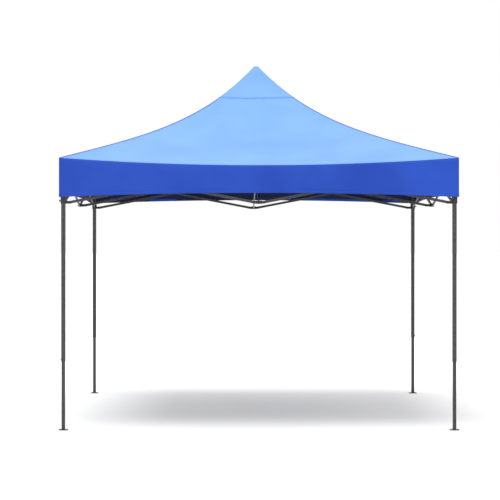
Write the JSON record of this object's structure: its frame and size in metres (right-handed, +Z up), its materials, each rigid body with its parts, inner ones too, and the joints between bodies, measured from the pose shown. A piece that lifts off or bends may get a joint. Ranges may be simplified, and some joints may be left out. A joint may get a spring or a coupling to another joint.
{
  "type": "pop up gazebo",
  "caption": "Square pop up gazebo with a pyramid canopy and valance on a folding scissor frame with telescopic legs.",
  "frame": {"origin": "ground level under the middle of the gazebo", "axes": "+Z up, front is -Y, +X to the right"},
  "size_m": [2.956, 2.956, 2.826],
  "materials": {
    "canopy_fabric": "coated woven polyester",
    "grey_steel": "hammered powder coat",
    "black_nylon": "moulded"
  },
  "bodies": {
    "hub": {"centre_hub": "black_nylon", "peak_pole": "grey_steel", "peak_cap": "black_nylon"},
    "strut_0": {"inner_strut_0": "grey_steel"},
    "low_0": {"lower_mid_connector_0": "black_nylon"},
    "rise_0a": {"rising_bar_0a": "grey_steel"},
    "fall_0a": {"falling_bar_0a": "grey_steel"},
    "rise_0b": {"rising_bar_0b": "grey_steel"},
    "fall_0b": {"falling_bar_0b": "grey_steel"},
    "high_0": {"upper_mid_connector_0": "black_nylon"},
    "leg_0": {"outer_leg_0": "grey_steel", "corner_bracket_0": "black_nylon"},
    "slider_b_0": {"slider_0": "black_nylon"},
    "inner_0": {"inner_leg_0": "grey_steel"},
    "latch_0": {"slider_latch_0": "black_nylon"},
    "button_0": {"leg_button_0": "black_nylon"},
    "panel_0": {"canopy_panel_0": "canopy_fabric"},
    "strut_1": {"inner_strut_1": "grey_steel"},
    "low_1": {"lower_mid_connector_1": "black_nylon"},
    "rise_1a": {"rising_bar_1a": "grey_steel"},
    "fall_1a": {"falling_bar_1a": "grey_steel"},
    "rise_1b": {"rising_bar_1b": "grey_steel"},
    "fall_1b": {"falling_bar_1b": "grey_steel"},
    "high_1": {"upper_mid_connector_1": "black_nylon"},
    "leg_1": {"outer_leg_1": "grey_steel", "corner_bracket_1": "black_nylon"},
    "slider_b_1": {"slider_1": "black_nylon"},
    "inner_1": {"inner_leg_1": "grey_steel"},
    "latch_1": {"slider_latch_1": "black_nylon"},
    "button_1": {"leg_button_1": "black_nylon"},
    "panel_1": {"canopy_panel_1": "canopy_fabric"},
    "strut_2": {"inner_strut_2": "grey_steel"},
    "low_2": {"lower_mid_connector_2": "black_nylon"},
    "rise_2a": {"rising_bar_2a": "grey_steel"},
    "fall_2a": {"falling_bar_2a": "grey_steel"},
    "rise_2b": {"rising_bar_2b": "grey_steel"},
    "fall_2b": {"falling_bar_2b": "grey_steel"},
    "high_2": {"upper_mid_connector_2": "black_nylon"},
    "leg_2": {"outer_leg_2": "grey_steel", "corner_bracket_2": "black_nylon"},
    "slider_b_2": {"slider_2": "black_nylon"},
    "inner_2": {"inner_leg_2": "grey_steel"},
    "latch_2": {"slider_latch_2": "black_nylon"},
    "button_2": {"leg_button_2": "black_nylon"},
    "panel_2": {"canopy_panel_2": "canopy_fabric"},
    "strut_3": {"inner_strut_3": "grey_steel"},
    "low_3": {"lower_mid_connector_3": "black_nylon"},
    "rise_3a": {"rising_bar_3a": "grey_steel"},
    "fall_3a": {"falling_bar_3a": "grey_steel"},
    "rise_3b": {"rising_bar_3b": "grey_steel"},
    "fall_3b": {"falling_bar_3b": "grey_steel"},
    "high_3": {"upper_mid_connector_3": "black_nylon"},
    "leg_3": {"outer_leg_3": "grey_steel", "corner_bracket_3": "black_nylon"},
    "slider_b_3": {"slider_3": "black_nylon"},
    "inner_3": {"inner_leg_3": "grey_steel"},
    "latch_3": {"slider_latch_3": "black_nylon"},
    "button_3": {"leg_button_3": "black_nylon"},
    "panel_3": {"canopy_panel_3": "canopy_fabric"}
  },
  "joints": [
    {"name": "fold", "type": "hinge", "parent": "hub", "child": "strut_0", "pos_m": [0, -0.039, 1.945], "axis": [1, 0, 0], "range_deg": [0, 77.6]},
    {"name": "low_turn_0", "type": "hinge", "parent": "strut_0", "child": "low_0", "pos_m": [0, -1.406, 1.682], "axis": [-1, 0, 0], "range_deg": [0, 77.61]},
    {"name": "rise_0a_turn", "type": "hinge", "parent": "low_0", "child": "rise_0a", "pos_m": [-0.033, -1.445, 1.682], "axis": [0, 1, 0], "range_deg": [0, 77.61]},
    {"name": "fall_0a_cross", "type": "hinge", "parent": "rise_0a", "child": "fall_0a", "pos_m": [-0.7165, -1.445, 1.8135], "axis": [0, -1, 0], "range_deg": [0, 155.21]},
    {"name": "rise_0b_turn", "type": "hinge", "parent": "low_0", "child": "rise_0b", "pos_m": [0.033, -1.445, 1.682], "axis": [0, -1, 0], "range_deg": [0, 77.61]},
    {"name": "fall_0b_cross", "type": "hinge", "parent": "rise_0b", "child": "fall_0b", "pos_m": [0.7165, -1.445, 1.8135], "axis": [0, 1, 0], "range_deg": [0, 155.21]},
    {"name": "high_turn_0", "type": "hinge", "parent": "fall_0b", "child": "high_0", "pos_m": [0.033, -1.445, 1.945], "axis": [0, -1, 0], "range_deg": [0, 77.61]},
    {"name": "leg_turn_0", "type": "hinge", "parent": "rise_0b", "child": "leg_0", "pos_m": [1.4, -1.445, 1.945], "axis": [0, 1, 0], "range_deg": [0, 77.61]},
    {"name": "slider_turn_0", "type": "hinge", "parent": "fall_0b", "child": "slider_b_0", "pos_m": [1.4, -1.445, 1.682], "axis": [0, -1, 0], "range_deg": [0, 77.61]},
    {"name": "leg_slide_0", "type": "slide", "parent": "leg_0", "child": "inner_0", "axis": [0, 0, 1], "range_m": [0, 0.45]},
    {"name": "latch_pull_0", "type": "slide", "parent": "slider_b_0", "child": "latch_0", "axis": [0, -1, 0], "range_m": [0, 0.006], "stiffness_N_per_m": 400, "springref_m": -0.002},
    {"name": "button_press_0", "type": "slide", "parent": "leg_0", "child": "button_0", "axis": [0, 1, 0], "range_m": [0, 0.005], "stiffness_N_per_m": 400, "springref_m": -0.002},
    {"name": "canopy_fold_0", "type": "hinge", "parent": "hub", "child": "panel_0", "pos_m": [0, 0, 2.83], "axis": [1, 0, 0], "range_deg": [0, 40.1], "deforming": ["canopy_panel_0"]},
    {"name": "strut_fold_1", "type": "hinge", "parent": "hub", "child": "strut_1", "pos_m": [0.039, 0, 1.945], "axis": [0, 1, 0], "range_deg": [0, 77.61]},
    {"name": "low_turn_1", "type": "hinge", "parent": "strut_1", "child": "low_1", "pos_m": [1.406, 0, 1.682], "axis": [0, -1, 0], "range_deg": [0, 77.61]},
    {"name": "rise_1a_turn", "type": "hinge", "parent": "low_1", "child": "rise_1a", "pos_m": [1.445, -0.033, 1.682], "axis": [-1, 0, 0], "range_deg": [0, 77.61]},
    {"name": "fall_1a_cross", "type": "hinge", "parent": "rise_1a", "child": "fall_1a", "pos_m": [1.445, -0.7165, 1.8135], "axis": [1, 0, 0], "range_deg": [0, 155.21]},
    {"name": "rise_1b_turn", "type": "hinge", "parent": "low_1", "child": "rise_1b", "pos_m": [1.445, 0.033, 1.682], "axis": [1, 0, 0], "range_deg": [0, 77.61]},
    {"name": "fall_1b_cross", "type": "hinge", "parent": "rise_1b", "child": "fall_1b", "pos_m": [1.445, 0.7165, 1.8135], "axis": [-1, 0, 0], "range_deg": [0, 155.21]},
    {"name": "high_turn_1", "type": "hinge", "parent": "fall_1b", "child": "high_1", "pos_m": [1.445, 0.033, 1.945], "axis": [1, 0, 0], "range_deg": [0, 77.61]},
    {"name": "leg_turn_1", "type": "hinge", "parent": "rise_1b", "child": "leg_1", "pos_m": [1.445, 1.4, 1.945], "axis": [-1, 0, 0], "range_deg": [0, 77.61]},
    {"name": "slider_turn_1", "type": "hinge", "parent": "fall_1b", "child": "slider_b_1", "pos_m": [1.445, 1.4, 1.682], "axis": [1, 0, 0], "range_deg": [0, 77.61]},
    {"name": "leg_slide_1", "type": "slide", "parent": "leg_1", "child": "inner_1", "axis": [0, 0, 1], "range_m": [0, 0.45]},
    {"name": "latch_pull_1", "type": "slide", "parent": "slider_b_1", "child": "latch_1", "axis": [1, 0, 0], "range_m": [0, 0.006], "stiffness_N_per_m": 400, "springref_m": -0.002},
    {"name": "button_press_1", "type": "slide", "parent": "leg_1", "child": "button_1", "axis": [-1, 0, 0], "range_m": [0, 0.005], "stiffness_N_per_m": 400, "springref_m": -0.002},
    {"name": "canopy_fold_1", "type": "hinge", "parent": "hub", "child": "panel_1", "pos_m": [0, 0, 2.83], "axis": [0, 1, 0], "range_deg": [0, 40.1], "deforming": ["canopy_panel_1"]},
    {"name": "strut_fold_2", "type": "hinge", "parent": "hub", "child": "strut_2", "pos_m": [0, 0.039, 1.945], "axis": [-1, 0, 0], "range_deg": [0, 77.61]},
    {"name": "low_turn_2", "type": "hinge", "parent": "strut_2", "child": "low_2", "pos_m": [0, 1.406, 1.682], "axis": [1, 0, 0], "range_deg": [0, 77.61]},
    {"name": "rise_2a_turn", "type": "hinge", "parent": "low_2", "child": "rise_2a", "pos_m": [0.033, 1.445, 1.682], "axis": [0, -1, 0], "range_deg": [0, 77.61]},
    {"name": "fall_2a_cross", "type": "hinge", "parent": "rise_2a", "child": "fall_2a", "pos_m": [0.7165, 1.445, 1.8135], "axis": [0, 1, 0], "range_deg": [0, 155.21]},
    {"name": "rise_2b_turn", "type": "hinge", "parent": "low_2", "child": "rise_2b", "pos_m": [-0.033, 1.445, 1.682], "axis": [0, 1, 0], "range_deg": [0, 77.61]},
    {"name": "fall_2b_cross", "type": "hinge", "parent": "rise_2b", "child": "fall_2b", "pos_m": [-0.7165, 1.445, 1.8135], "axis": [0, -1, 0], "range_deg": [0, 155.21]},
    {"name": "high_turn_2", "type": "hinge", "parent": "fall_2b", "child": "high_2", "pos_m": [-0.033, 1.445, 1.945], "axis": [0, 1, 0], "range_deg": [0, 77.61]},
    {"name": "leg_turn_2", "type": "hinge", "parent": "rise_2b", "child": "leg_2", "pos_m": [-1.4, 1.445, 1.945], "axis": [0, -1, 0], "range_deg": [0, 77.61]},
    {"name": "slider_turn_2", "type": "hinge", "parent": "fall_2b", "child": "slider_b_2", "pos_m": [-1.4, 1.445, 1.682], "axis": [0, 1, 0], "range_deg": [0, 77.61]},
    {"name": "leg_slide_2", "type": "slide", "parent": "leg_2", "child": "inner_2", "axis": [0, 0, 1], "range_m": [0, 0.45]},
    {"name": "latch_pull_2", "type": "slide", "parent": "slider_b_2", "child": "latch_2", "axis": [0, 1, 0], "range_m": [0, 0.006], "stiffness_N_per_m": 400, "springref_m": -0.002},
    {"name": "button_press_2", "type": "slide", "parent": "leg_2", "child": "button_2", "axis": [0, -1, 0], "range_m": [0, 0.005], "stiffness_N_per_m": 400, "springref_m": -0.002},
    {"name": "canopy_fold_2", "type": "hinge", "parent": "hub", "child": "panel_2", "pos_m": [0, 0, 2.83], "axis": [-1, 0, 0], "range_deg": [0, 40.1], "deforming": ["canopy_panel_2"]},
    {"name": "strut_fold_3", "type": "hinge", "parent": "hub", "child": "strut_3", "pos_m": [-0.039, 0, 1.945], "axis": [0, -1, 0], "range_deg": [0, 77.61]},
    {"name": "low_turn_3", "type": "hinge", "parent": "strut_3", "child": "low_3", "pos_m": [-1.406, 0, 1.682], "axis": [0, 1, 0], "range_deg": [0, 77.61]},
    {"name": "rise_3a_turn", "type": "hinge", "parent": "low_3", "child": "rise_3a", "pos_m": [-1.445, 0.033, 1.682], "axis": [1, 0, 0], "range_deg": [0, 77.61]},
    {"name": "fall_3a_cross", "type": "hinge", "parent": "rise_3a", "child": "fall_3a", "pos_m": [-1.445, 0.7165, 1.8135], "axis": [-1, 0, 0], "range_deg": [0, 155.21]},
    {"name": "rise_3b_turn", "type": "hinge", "parent": "low_3", "child": "rise_3b", "pos_m": [-1.445, -0.033, 1.682], "axis": [-1, 0, 0], "range_deg": [0, 77.61]},
    {"name": "fall_3b_cross", "type": "hinge", "parent": "rise_3b", "child": "fall_3b", "pos_m": [-1.445, -0.7165, 1.8135], "axis": [1, 0, 0], "range_deg": [0, 155.21]},
    {"name": "high_turn_3", "type": "hinge", "parent": "fall_3b", "child": "high_3", "pos_m": [-1.445, -0.033, 1.945], "axis": [-1, 0, 0], "range_deg": [0, 77.61]},
    {"name": "leg_turn_3", "type": "hinge", "parent": "rise_3b", "child": "leg_3", "pos_m": [-1.445, -1.4, 1.945], "axis": [1, 0, 0], "range_deg": [0, 77.61]},
    {"name": "slider_turn_3", "type": "hinge", "parent": "fall_3b", "child": "slider_b_3", "pos_m": [-1.445, -1.4, 1.682], "axis": [-1, 0, 0], "range_deg": [0, 77.61]},
    {"name": "leg_slide_3", "type": "slide", "parent": "leg_3", "child": "inner_3", "axis": [0, 0, 1], "range_m": [0, 0.45]},
    {"name": "latch_pull_3", "type": "slide", "parent": "slider_b_3", "child": "latch_3", "axis": [-1, 0, 0], "range_m": [0, 0.006], "stiffness_N_per_m": 400, "springref_m": -0.002},
    {"name": "button_press_3", "type": "slide", "parent": "leg_3", "child": "button_3", "axis": [1, 0, 0], "range_m": [0, 0.005], "stiffness_N_per_m": 400, "springref_m": -0.002},
    {"name": "canopy_fold_3", "type": "hinge", "parent": "hub", "child": "panel_3", "pos_m": [0, 0, 2.83], "axis": [0, -1, 0], "range_deg": [0, 40.1], "deforming": ["canopy_panel_3"]}
  ],
  "couplings": [
    {"joint": "low_turn_0", "follows": "fold", "ratio": 1},
    {"joint": "rise_0a_turn", "follows": "fold", "ratio": 1},
    {"joint": "fall_0a_cross", "follows": "fold", "ratio": 2},
    {"joint": "rise_0b_turn", "follows": "fold", "ratio": 1},
    {"joint": "fall_0b_cross", "follows": "fold", "ratio": 2},
    {"joint": "high_turn_0", "follows": "fold", "ratio": 1},
    {"joint": "leg_turn_0", "follows": "fold", "ratio": 1},
    {"joint": "slider_turn_0", "follows": "fold", "ratio": 1},
    {"joint": "canopy_fold_0", "follows": "fold", "ratio": 0.515},
    {"joint": "strut_fold_1", "follows": "fold", "ratio": 1},
    {"joint": "low_turn_1", "follows": "fold", "ratio": 1},
    {"joint": "rise_1a_turn", "follows": "fold", "ratio": 1},
    {"joint": "fall_1a_cross", "follows": "fold", "ratio": 2},
    {"joint": "rise_1b_turn", "follows": "fold", "ratio": 1},
    {"joint": "fall_1b_cross", "follows": "fold", "ratio": 2},
    {"joint": "high_turn_1", "follows": "fold", "ratio": 1},
    {"joint": "leg_turn_1", "follows": "fold", "ratio": 1},
    {"joint": "slider_turn_1", "follows": "fold", "ratio": 1},
    {"joint": "canopy_fold_1", "follows": "fold", "ratio": 0.515},
    {"joint": "strut_fold_2", "follows": "fold", "ratio": 1},
    {"joint": "low_turn_2", "follows": "fold", "ratio": 1},
    {"joint": "rise_2a_turn", "follows": "fold", "ratio": 1},
    {"joint": "fall_2a_cross", "follows": "fold", "ratio": 2},
    {"joint": "rise_2b_turn", "follows": "fold", "ratio": 1},
    {"joint": "fall_2b_cross", "follows": "fold", "ratio": 2},
    {"joint": "high_turn_2", "follows": "fold", "ratio": 1},
    {"joint": "leg_turn_2", "follows": "fold", "ratio": 1},
    {"joint": "slider_turn_2", "follows": "fold", "ratio": 1},
    {"joint": "canopy_fold_2", "follows": "fold", "ratio": 0.515},
    {"joint": "strut_fold_3", "follows": "fold", "ratio": 1},
    {"joint": "low_turn_3", "follows": "fold", "ratio": 1},
    {"joint": "rise_3a_turn", "follows": "fold", "ratio": 1},
    {"joint": "fall_3a_cross", "follows": "fold", "ratio": 2},
    {"joint": "rise_3b_turn", "follows": "fold", "ratio": 1},
    {"joint": "fall_3b_cross", "follows": "fold", "ratio": 2},
    {"joint": "high_turn_3", "follows": "fold", "ratio": 1},
    {"joint": "leg_turn_3", "follows": "fold", "ratio": 1},
    {"joint": "slider_turn_3", "follows": "fold", "ratio": 1},
    {"joint": "canopy_fold_3", "follows": "fold", "ratio": 0.515}
  ]
}
